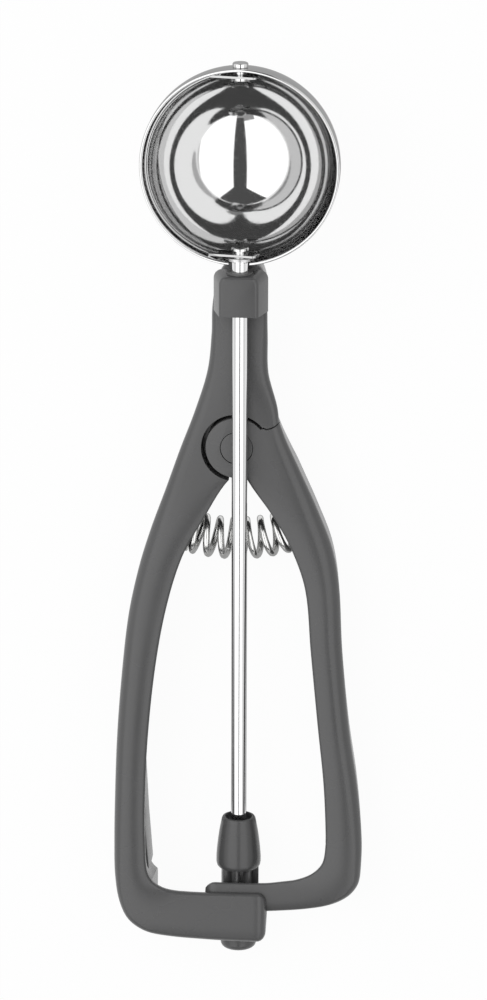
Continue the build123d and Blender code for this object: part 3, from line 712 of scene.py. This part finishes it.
# %% Lever blank
lever_front = 7.4
rack_root = 5.7
tongue_end = -8.6
lever_stations = [
    ((6.6, 16.0), (-3.0, 12.0), 2.0, 2.0, 0.8),
    ((9.6, 8.5), (-2.0, 5.0), 2.6, 2.2, 0.8),
    ((11.8, 2.2), (-1.5, -2.0), 3.2, 2.4, 0.8),
    ((16.15, -7.8), (2.2, -9.4), 3.8, 2.7, 0.8),
    ((20.2, -17.0), (8.2, -18.0), 4.0, 2.9, 0.8),
    ((24.0, -26.8), (13.2, -26.8), 4.0, 2.9, 0.8),
    ((25.85, -36.5), (16.9, -37.4), 3.8, 2.8, 0.8),
    ((26.9, -53.3), (18.5, -53.3), 3.6, 2.8, 0.8),
    ((29.1, -74.5), (20.6, -73.0), 3.4, 2.7, 0.8),
    ((31.5, -90.0), (22.3, -88.0), 3.4, 2.7, 0.8),
    ((32.7, -103.0), (23.0, -99.5), 3.0, 2.5, 0.8),
    ((32.6, -110.9), (23.0, -106.0), 2.6, 2.4, 0.8),
    ((31.9, -115.5), (22.2, -109.8), 2.2, 2.2, 0.7),
    ((29.3, -118.9), (19.6, -112.6), 1.8, 2.0, 0.6),
    ((24.6, -121.3), (15.8, -114.3), 1.4, 1.8, 0.5),
    ((18.0, -122.6), (12.0, -115.0), 1.0, 1.4, 0.35),
    ((9.0, -123.4), (7.5, -115.6), 0.8, 0.9, 0.35),
    ((0.0, -123.8), (0.0, -115.8), 0.7, 0.8, 0.35),
    ((tongue_end, -124.0), (tongue_end, -115.8), 0.7, 0.8, 0.35),
]
lever = moulding(
    "lever_handle_moulding", lever_stations, lever_front, round_start=False, end_round=3.0)
print("lever blank:", len(lever.data.vertices), "vertices")

# %% [markdown]
# The lever loses the neck's side of the seam, the rear half of the hub, which is the frame's, and
# all that is behind the tongue. The disc is joined on last, so that the seam doesn't reach it.

# %% Lever: seam, hub and tongue
neck_side = [(x, y - seam_gap) for x, y in seam_line]
neck_side += [(far, 13.0), (far, far), (-far, far), (-far, 7.0), (-9.0, 7.0), (pivot_x, 4.0)]
combine(lever, slab(neck_side, below, above))
combine(lever, column(recess_radius, below, lap_high, (pivot_x, 0.0), 160))
hub = column(hub_radius, lap_high, neck_front, (pivot_x, 0.0), 160)
arm_side = 1.0
soften(hub, lambda a, b: over(neck_front - 0.01, a, b) and max(a.x, b.x) < arm_side,
       offset=0.25, segments=2)
combine(lever, hub, "UNION")
tongue_start, tongue_above = 24.0, -104.0
combine(lever, brick((-far, tongue_start), (-150.0, tongue_above), (-far, rack_root)))
corner_round, tongue_top = 3.4, -115.8
corner = [(tongue_end - 5, -105.0), (tongue_end + corner_round, -105.0)]
corner += [(tongue_end + corner_round * (1 - rise), tongue_top - corner_round * fall)
           for rise, fall in quarter(8)]
corner += [(tongue_end - 5, tongue_top - corner_round)]
combine(lever, slab(corner, below, above))
print("lever cut:", len(lever.data.polygons), "faces")

# %% [markdown]
# A shallow well in the hub takes the pivot cap, with a hole under it for the pin. Each tooth of the
# rack stands along a radius from the pivot, because the rack swings about it.

# %% Lever: the well of the pivot cap, and the rack
pivot_cap_radius, cap_gap, well_depth, bush_hole = 4.15, 0.12, 1.3, 3.45
combine(lever, column(pivot_cap_radius + cap_gap, neck_front - well_depth, above, (pivot_x, 0.0), 128))
combine(lever, column(bush_hole, below, above, (pivot_x, 0.0), 96))

rack_radius = 119.3
pitch = pi
mesh_angle = sin(1.0 / rack_radius)
tooth_tip, tooth_base = 3.72, rack_root + 0.05
tip_half, base_half = 0.27, 1.0
rack_top, rack_bottom = -117.0, -122.9
swap_y_and_z = Matrix(((1, 0, 0, 0), (0, 0, 1, 0), (0, 1, 0, 0), (0, 0, 0, 1)))
for number in range(-2, 6):
    tooth = slab([(-tip_half, tooth_tip), (tip_half, tooth_tip), (base_half, tooth_base),
                  (-base_half, tooth_base)], rack_bottom, rack_top)
    # the slab stands along Z, so it is laid along Y and then turned about the pivot
    angle = mesh_angle + (number + 0.5) * pitch / rack_radius
    to_its_place = Matrix.Translation((pivot_x, 0, 0)) @ Matrix.Rotation(angle, 4, "Z")
    tooth.data.transform(to_its_place @ swap_y_and_z)
    combine(lever, tidy_mesh(tooth), "UNION")
place(lever, "lever", handle_grey, "lever_handle")

# %% [markdown]
# ## The pivot cap
# A thin round cover hides the head of the pivot pin. It is a low cylinder with a softened rim, and
# the well is a hair wider: that gap draws the fine dark ring.

# %% Pivot cap
cap_sink = 0.08
cap_top = neck_front - cap_sink
cap = column(pivot_cap_radius, neck_front - well_depth, cap_top, (pivot_x, 0.0), 128)
cap.name = cap.data.name = "pivot_cap_cover"
soften(cap, lambda a, b: over(cap_top - 0.02, a, b), offset=0.16, segments=3)
place(cap, "lever", cap_grey, "pivot_cap")

# %% [markdown]
# ## The bowl
# The bowl is half a sphere of sheet steel with a short straight collar and a rounded rim. It is a
# mirror inside and out, so it needs a fine, even mesh, or the reflections would ripple. A sphere is
# cut in half, its open edge is pulled up, Solidify gives the sheet its thickness, and the slot for
# the shaft is cut.

# %% Bowl
bowl_wall, bowl_collar, rim_round = 0.8, 3.0, 0.28
only(None)
bpy.ops.mesh.primitive_uv_sphere_add(segments=192, ring_count=96, radius=bowl_radius)
bowl = just_added("bowl_shell")
edit_all(bowl)
bpy.ops.mesh.bisect(plane_co=(0, 0, 0), plane_no=(0, 0, 1), clear_outer=True)
select_edges(bowl, lambda a, b: over(-0.001, a, b))
for step in range(2):
    bpy.ops.mesh.extrude_region_move(TRANSFORM_OT_translate={"value": (0, 0, bowl_collar / 2)})
tidy_mesh(bowl)
apply_modifier(bowl, "SOLIDIFY", thickness=bowl_wall, offset=-1, use_even_offset=True)


def on_rim(a, b):
    """True for an edge that runs round the rim, not across it."""
    return over(bowl_collar - 0.001, a, b) and abs(a.xy.length - b.xy.length) < 0.1


soften(bowl, on_rim, offset=rim_round, segments=4)
bowl.data.transform(Matrix.Translation((0, bowl_y, 0)))

notch_half = 2.65
combine(bowl, column_along(notch_half, bowl_y - 45, 15, 30, sides=48))
combine(bowl, brick((-notch_half, notch_half), (bowl_y - 30, bowl_y - 15), (0.0, 6.0)))
place(bowl, "frame", mirror_steel, "bowl", angle=40)

# %% [markdown]
# ## The scraper blade
# The blade is a strip of a slightly smaller sphere. Only its profile is drawn, an arc that is spun
# about the shaft's axis by the blade's width. Solidify then gives it its thickness.

# %% Blade
blade_outer, blade_wall, blade_arc, blade_lift = 24.15, 0.8, radians(25.0), radians(2.5)
latitude, profile_steps = radians(78.0), 96
start_turn = Matrix.Rotation(blade_lift, 3, "Y")
profile = []
for step in range(profile_steps + 1):
    angle = -latitude + 2 * latitude * step / profile_steps
    profile.append(start_turn @ Vector((-blade_outer * cos(angle), blade_outer * sin(angle), 0)))
blade = drawn("scraper_blade_strip", profile)
edit_all(blade)
bpy.ops.mesh.spin(steps=24, angle=blade_arc, center=(0, 0, 0), axis=(0, 1, 0))
tidy_mesh(blade)
print("blade strip reaches down to", round(min(vertex.co.z for vertex in blade.data.vertices), 2))
apply_modifier(blade, "SOLIDIFY", thickness=blade_wall, offset=-1, use_even_offset=True)
apply_modifier(blade, "BEVEL", width=0.12, segments=2, limit_method="ANGLE", angle_limit=radians(50))

# %% [markdown]
# A flat tab closes the strip at each pole, with a hole for the rivet or the shaft. Its outer end is
# rounded, and its inner end disappears in the strip.

# %% Blade: the tabs
tab_distance, tab_root, tab_reach, tab_half, tab_wall = 22.7, -7.6, 4.8, 2.3, 0.55
tab_turn = blade_arc / 2 - blade_lift
tab_outline = rounded_profile(
    [(tab_root, -tab_half), (tab_reach, -tab_half), (tab_reach, tab_half), (tab_root, tab_half)],
    [0.01, 1.2, 1.2, 0.01])
for end, hole_radius in ((-1, 1.5), (1, 1.06)):
    tab = slab(tab_outline, 0, tab_wall)
    soften(tab, lambda a, b: abs(a.z - b.z) < 0.01 and min(a.x, b.x) > tab_root + 0.1,
           offset=0.1, segments=2)
    combine(tab, column(hole_radius, -2, 3, sides=48))
    stand = Matrix.Rotation(-tab_turn, 4, "Y") @ Matrix.Rotation(pi / 2, 4, "X")
    along = end * tab_distance + (tab_wall if end > 0 else 0.0)
    tab.data.transform(Matrix.Translation((0, along, 0)) @ stand)
    combine(blade, tidy_mesh(tab), "UNION")
blade.data.transform(Matrix.Translation((0, bowl_y, 0)))
place(blade, "scraper", blade_steel, "scraper_blade", angle=35)

# %% [markdown]
# ## Rivet and shaft
# Both are turned parts, spun from half an outline. The rivet's head is a low dome with a crisp
# skirt. Rounded corners matter: a polished edge always shows as a thin bright line.

# %% Rivet
rivet_points = [(0, 101.3), (2.0, 101.3), (2.0, 100.12), (1.4, 100.12), (1.4, 98.35), (1.0, 98.35),
                (1.0, 97.45), (1.9, 97.45), (1.9, 96.65), (0, 96.65)]
rivet_radii = [0, 0.45, 0.1, 0.1, 0.1, 0.02, 0.02, 0.1, 0.3, 0]
rivet = turned("blade_rivet_turned", rivet_points, rivet_radii, 64)
place(rivet, "frame", rod_steel, "blade_rivet")

# %% [markdown]
# At its near end the shaft is turned down to pass the blade's tab and then peened over it, which
# leaves a small domed head.

# %% Shaft
shaft_points = [(0, 53.7), (2.2, 53.7), (2.2, 52.98), (1.5, 52.98), (1.5, 52.08), (2.0, 52.08),
                (2.0, -134.0), (0, -134.0)]
shaft_radii = [0, 0.3, 0.05, 0.02, 0.02, 0.25, 0.3, 0]
shaft = turned("scraper_shaft_rod", shaft_points, shaft_radii)
place(shaft, "scraper", rod_steel, "scraper_shaft")

# %% [markdown]
# ## The collar block
# A small block caps the neck and holds the shaft down. Its outline, with rounded top corners, is
# stood up into a block. Drawing its front face in slants the sides all round, and small bevels
# soften the edges.

# %% Collar block
collar_low, collar_high, collar_front = 36.4, 47.2, 4.3
collar_back_half, front_share, top_share, top_round = 6.95, 0.70, 0.955, 2.3
collar_outline = rounded_profile(
    [(-collar_back_half, collar_low), (collar_back_half, collar_low),
     (collar_back_half, collar_high), (-collar_back_half, collar_high)],
    [0, 0, top_round, top_round], steps=8)
collar = slab(collar_outline, neck_front - 0.6, collar_front)
collar.name = collar.data.name = "neck_collar_block"
select_edges(collar, lambda a, b: over(collar_front - 0.01, a, b))
bpy.ops.transform.resize(value=(front_share, top_share, 1), center_override=(0, collar_low, 0))
soften(collar, lambda a, b: over(collar_front - 0.01, a, b) and max(a.y, b.y) > collar_low + 0.01,
       offset=0.8, segments=5)
soften(collar, lambda a, b: over(collar_front - 0.01, a, b) and max(a.y, b.y) < collar_low + 0.01,
       offset=0.25, segments=3)
tidy_mesh(collar)
bore_radius = 2.78
combine(collar, column_along(bore_radius, 41, -20, 20))
place(collar, "frame", collar_grey, "neck_collar", angle=35)

# %% [markdown]
# ## The drive pinion and the end cap
# The pinion is one black moulding: a tapered sleeve with a countersunk mouth round the shaft, teeth
# below it, and a journal. The round part is spun.

# %% Pinion
teeth, root_radius, tip_radius, pitch_radius = 9, 3.3, 5.4, 4.5
sleeve_top, sleeve_skirt, teeth_end, journal_end = -99.3, -113.1, -123.2, -130.4
bore_radius, journal_radius = 2.05, 3.0
sleeve_profile = [(bore_radius, sleeve_top - 1.7), (3.3, sleeve_top - 1.5), (3.5, sleeve_top - 0.1),
                  (3.75, sleeve_top), (4.15, sleeve_top - 0.15), (4.4, sleeve_top - 0.6)]
sleeve_profile += [tuple(point) for point in curve_through(
    [(4.5, sleeve_top - 1.1), (5.05, sleeve_top - 4.0), (5.5, sleeve_top - 7.4),
     (5.8, sleeve_top - 10.8), (5.8, sleeve_skirt + 1.3)], 5)]
sleeve_profile += [
    (5.65, sleeve_skirt + 0.5), (5.25, sleeve_skirt), (root_radius, sleeve_skirt - 0.05),
    (root_radius, teeth_end), (journal_radius, teeth_end), (journal_radius, journal_end),
    (bore_radius, journal_end)]
pinion = spun("drive_pinion_moulding", sleeve_profile)
print("sleeve:", len(pinion.data.vertices), "vertices")

# %% [markdown]
# One tooth is copied round the axis. On the side that the rack never reaches there are none: a
# plain sector fills that side up to the pitch circle.

# %% Pinion: the teeth
plain_from, plain_to, sector_margin = 130, 250, 14
tooth_sink = 0.3
core_radius = root_radius - 0.5
# half the tooth's thickness at each radius, from its root to its tip
flank = [(core_radius, 0.68), (root_radius, 0.68), (pitch_radius, 0.62), (tip_radius - 0.1, 0.34),
         (tip_radius, 0.22)]
tooth_outline = [(radius, -half) for radius, half in flank]
tooth_outline += [(radius, half) for radius, half in reversed(flank)]
out_of_the_mouth = Matrix(((0, -1, 0, 0), (0, 0, 1, 0), (1, 0, 0, 0), (0, 0, 0, 1)))
for number in range(teeth):
    degrees_round = (90 - 360 * number / teeth) % 360
    if plain_from < degrees_round < plain_to:
        continue
    tooth = slab(tooth_outline, teeth_end, sleeve_skirt + tooth_sink)
    tooth.data.transform(Matrix.Rotation(2 * pi * number / teeth, 4, "Y") @ out_of_the_mouth)
    combine(pinion, tidy_mesh(tooth), "UNION")

inner_angles = range(plain_to - sector_margin, plain_from + sector_margin - 1, -8)
outer_angles = range(plain_from + sector_margin, plain_to - sector_margin + 1, 4)
sector = [(radius * cos(radians(angle)), radius * sin(radians(angle)))
          for radius, angles in ((core_radius, inner_angles), (pitch_radius, outer_angles))
          for angle in angles]
plain = slab(sector, teeth_end, sleeve_skirt + tooth_sink)
plain.data.transform(swap_y_and_z)
combine(pinion, tidy_mesh(plain), "UNION")
place(pinion, "scraper", gear_black, "drive_pinion", angle=35)

# %% [markdown]
# The end cap closes the shaft's end below the foot. Its lower corner has a large radius and its
# face is slightly hollow, and it is spun like the shaft.

# %% End cap
cap_points = [(0, -130.42), (4.7, -130.42), (4.7, -135.82), (3.2, -135.82), (2.9, -135.5), (0, -135.5)]
cap_radii = [0, 0.15, 1.6, 0.15, 0.15, 0]
end_cap = turned("end_cap_moulding", cap_points, cap_radii)
place(end_cap, "scraper", handle_grey, "end_cap")

# %% [markdown]
# ## The return spring
# The spring is a helix whose centre line bows, because its ends sit on two slanted arms. Its points
# are worked out turn by turn, with one closed turn in the arm's pocket.

# %% Spring
turns, closed_turns, closed_pitch, end_clearance = 6.5, 1, 0.5, 0.2
bend_radius = 44.7
chord = right_seat - left_seat
half_bend = asin(chord.length / 2 / bend_radius)
middle_of_seats = (left_seat + right_seat) / 2
towards_centre = Vector((-chord.y, chord.x)).normalized()
bend_centre = middle_of_seats + towards_centre * bend_radius * cos(half_bend)
end_share = 1 - (wire_radius + end_clearance) / bend_radius / half_bend
wire_points = []
points_per_turn = 24
for step in range(-closed_turns * points_per_turn, int(turns * points_per_turn) + 1):
    wound = step / points_per_turn
    share = max(wound, wound * closed_pitch) / turns
    swing = (2 * share - 1) * half_bend * end_share + atan2(chord.y, chord.x)
    inward = Vector((-sin(swing), cos(swing)))
    middle = bend_centre - inward * bend_radius
    phase = 2 * pi * wound + pi
    reach = coil_radius * cos(phase)
    wire_points.append((middle.x + inward.x * reach, middle.y + inward.y * reach,
                        coil_height + coil_radius * sin(phase)))
print("wire:", len(wire_points), "points")

# %% [markdown]
# A curve with a round bevel is the natural way to draw wire.

# %% Spring: from wire to mesh
wire_curve = bpy.data.curves.new("return_spring_wire", "CURVE")
wire_curve.dimensions = "3D"
wire_curve.bevel_depth = wire_radius
wire_curve.bevel_resolution = 5
wire_curve.use_fill_caps = True
line = wire_curve.splines.new("POLY")
line.points.add(len(wire_points) - 1)
for spot, point in zip(line.points, wire_points):
    spot.co = (*point, 1)
spring = bpy.data.objects.new("return_spring_wire", wire_curve)
bpy.context.scene.collection.objects.link(spring)
only(spring)
bpy.ops.object.convert(target="MESH")
spring = bpy.context.object
tidy_mesh(spring)
place(spring, "frame", wire_steel, "return_spring", angle=50)
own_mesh(spring)

# %% [markdown]
# ## Floor, light and camera
# The scoop lies on plain white paper under a soft light and a white sky. The paper keeps a faint
# shadow, but to the camera and to a mirror it glows an even white. A few nodes tell these rays from
# the rest, and the world uses them too.

# %% Floor
def seen_by(nodes, links, *kinds):
    """An output that is 1 for rays of the given kinds and 0 for all others."""
    path = add_node(nodes, "LightPath")
    joined = path.outputs[kinds[0]]
    for kind in kinds[1:]:
        either = add_node(nodes, "Math")
        either.operation = "MAXIMUM"
        links.new(joined, either.inputs[0])
        links.new(path.outputs[kind], either.inputs[1])
        joined = either.outputs[0]
    return joined


only(None)
bpy.ops.mesh.primitive_plane_add(size=4, location=(0, 0, 0))
floor = just_added("floor")
paper, nodes, links, matte = new_finish("white_paper")
matte.inputs["Base Color"].default_value = (0.9, 0.9, 0.9, 1)
matte.inputs["Roughness"].default_value = 0.9
glow = add_node(nodes, "Emission", Strength=1.0)
keep_shadow = add_node(nodes, "Math")
keep_shadow.operation = "MULTIPLY"
keep_shadow.inputs[1].default_value = 0.955
blend_floor = add_node(nodes, "MixShader")
seen = seen_by(nodes, links, "Is Camera Ray", "Is Glossy Ray", "Is Transmission Ray")
links.new(seen, keep_shadow.inputs[0])
links.new(keep_shadow.outputs[0], blend_floor.inputs["Fac"])
links.new(matte.outputs["BSDF"], blend_floor.inputs[1])
links.new(glow.outputs["Emission"], blend_floor.inputs[2])
links.new(blend_floor.outputs["Shader"], nodes["Material Output"].inputs["Surface"])
floor.data.materials.append(paper)

# %% [markdown]
# The sky lights the scene softly at one strength, and shows behind it at full white.

# %% World
world = bpy.data.worlds.new("studio")
bpy.context.scene.world = world
world.use_nodes = True
nodes, links = world.node_tree.nodes, world.node_tree.links
sky = nodes["Background"]
sky.inputs["Color"].default_value = (1, 1, 1, 1)
sky.inputs["Strength"].default_value = 0.62
world.cycles.sampling_method = "NONE"
backdrop = add_node(nodes, "Background", Strength=1.0)
blend_sky = add_node(nodes, "MixShader")
links.new(seen_by(nodes, links, "Is Camera Ray", "Is Glossy Ray"), blend_sky.inputs["Fac"])
links.new(sky.outputs["Background"], blend_sky.inputs[1])
links.new(backdrop.outputs["Background"], blend_sky.inputs[2])
links.new(blend_sky.outputs["Shader"], nodes["World Output"].inputs["Surface"])

# %% [markdown]
# ## What the metal sees
# A mirror is only as good as what it reflects. Black boards stand beyond both ends of the table and
# put the dark bands into the bowl. Two grey cards lie just above the paper, under the bowl and the
# shaft: painted shadow, standing in for the shade that real paper has there.

# %% Cards that only mirrors see
def card_finish(name, brightness):
    """A card that glows evenly, so that it looks the same from everywhere."""
    finish, nodes, links, _ = new_finish(name)
    glow = add_node(nodes, "Emission", Color=(1, 1, 1, 1), Strength=brightness)
    links.new(glow.outputs["Emission"], nodes["Material Output"].inputs["Surface"])
    finish.cycles.emission_sampling = "NONE"
    return finish


def mirror_card(name, corners, finish):
    """A flat card that reflections show, and that neither the camera nor the light meets."""
    card = drawn(name, corners, face=True)
    card.data.materials.append(finish)
    card.visible_camera = False
    card.visible_diffuse = False
    card.visible_shadow = False
    return card


black_card = card_finish("black_card", 0.10)
# grey serves the boom's greyer tip and the painted shadow cards under the bowl and the shaft
grey_card = card_finish("grey_card", 0.42)
white_card = card_finish("white_card", 1.65)


def flat_card(name, x_span, y_span, height, finish):
    """A level card between two values across and along the table."""
    (left, right), (near, far) = x_span, y_span
    corners = ((left, near, height), (right, near, height), (right, far, height), (left, far, height))
    return mirror_card(name, corners, finish)


board_distance, board_half, board_foot, board_top = 1.2, 0.9, 0.35, 0.85
board_corners = ((-board_half, board_foot), (board_half, board_foot),
                 (board_half, board_top), (-board_half, board_top))
for name, along in (("board_head", board_distance), ("board_foot", -board_distance)):
    mirror_card(name, [(across, along, up) for across, up in board_corners], black_card)
paper_gap = 0.0004
# painted shadow: grey cards that show in the metal as the paper's shade under the bowl and the shaft
flat_card("painted_shadow_card_under_bowl", (-0.12, 0.12), (0.08, 0.30), paper_gap, grey_card)
flat_card("painted_shadow_card_under_shaft", (-0.02, 0.02), (-0.085, 0.0), paper_gap, grey_card)

# %% [markdown]
# ## The camera
# It looks down from a little above the head and a little to the right, from 1.3 m away. Its lens
# follows from how many pixels a millimetre of the scoop should take up.

# %% Camera
camera_distance = 1300.0
pixels_per_mm = 3.9
focal_pixels = pixels_per_mm * camera_distance
image_height = 1000
tilt, swing, roll = radians(17.0), radians(5.0), radians(0.15)
look_at = Vector((1.05, -13.03, 0.0))
view_line = Vector((sin(swing) * cos(tilt), sin(tilt), cos(swing) * cos(tilt)))
camera_up = (Vector((0, 1, 0)) - view_line * view_line.y).normalized()
camera_right = camera_up.cross(view_line)
rolled_right = camera_right * cos(roll) + camera_up * sin(roll)
rolled_up = camera_up * cos(roll) - camera_right * sin(roll)
camera = bpy.data.objects.new("camera", bpy.data.cameras.new("camera"))
bpy.context.scene.collection.objects.link(camera)
camera.data.sensor_width = 36
camera.data.lens = focal_pixels * camera.data.sensor_width / image_height
camera.data.clip_start, camera.data.clip_end = 0.1, 20
axes = Matrix((turn @ rolled_right, turn @ rolled_up, turn @ view_line)).transposed()
camera_place = lay_down @ (look_at + view_line * camera_distance)
camera.matrix_world = Matrix.Translation(camera_place) @ axes.to_4x4()
bpy.context.scene.camera = camera

# %% [markdown]
# Over the table hangs the camera's boom, long and dark with a greyer tip, and a white soft box on
# each side of it. The boom makes the dark streak in the metal, the boxes its bright sides.

# %% Boom and soft boxes
boom_height, box_height = 1.0, 1.02
boom_outline = [
    (0.0, -1.15), (0.20, -1.15), (0.224, -0.06), (0.24, 0.76), (0.72, 1.27), (0.72, 1.55),
    (-0.82, 1.55), (-0.82, 1.27), (-0.076, 0.76), (-0.045, -0.06)]
tip_outline = [
    (-0.31, -1.50), (0.20, -1.50), (0.20, -1.15), (0.0, -1.15), (0.0, -0.95), (-0.31, -1.12)]
mirror_card("camera_boom", [(*spot, boom_height) for spot in boom_outline], black_card)
mirror_card("boom_tip", [(*spot, boom_height) for spot in tip_outline], grey_card)
boom_middle = 0.08
box_side, box_span = 1.45, (-1.66, 1.50)
flat_card("soft_box_left", (-box_side, boom_middle), box_span, box_height, white_card)
flat_card("soft_box_right", (boom_middle, box_side), box_span, box_height, white_card)

# %% [markdown]
# ## The light
# One large soft lamp from the upper left gives the shading its direction. It is hidden from the
# mirrors, which have the soft boxes to show.

# %% Lamp and colours
lamp_place = Vector((-0.7, 0.5, 1.1))
lamp_data = bpy.data.lights.new("soft_overhead", "AREA")
lamp_data.shape = "RECTANGLE"
lamp_data.size, lamp_data.size_y = 1.2, 1.2
lamp_data.energy = 9
lamp = bpy.data.objects.new("soft_overhead", lamp_data)
lamp.location = lamp_place
lamp.rotation_euler = (-lamp_place).to_track_quat("-Z", "Y").to_euler()
lamp.visible_glossy = False
bpy.context.scene.collection.objects.link(lamp)

bpy.context.scene.view_settings.view_transform = "Standard"
bpy.context.scene.cycles.glossy_bounces = 12
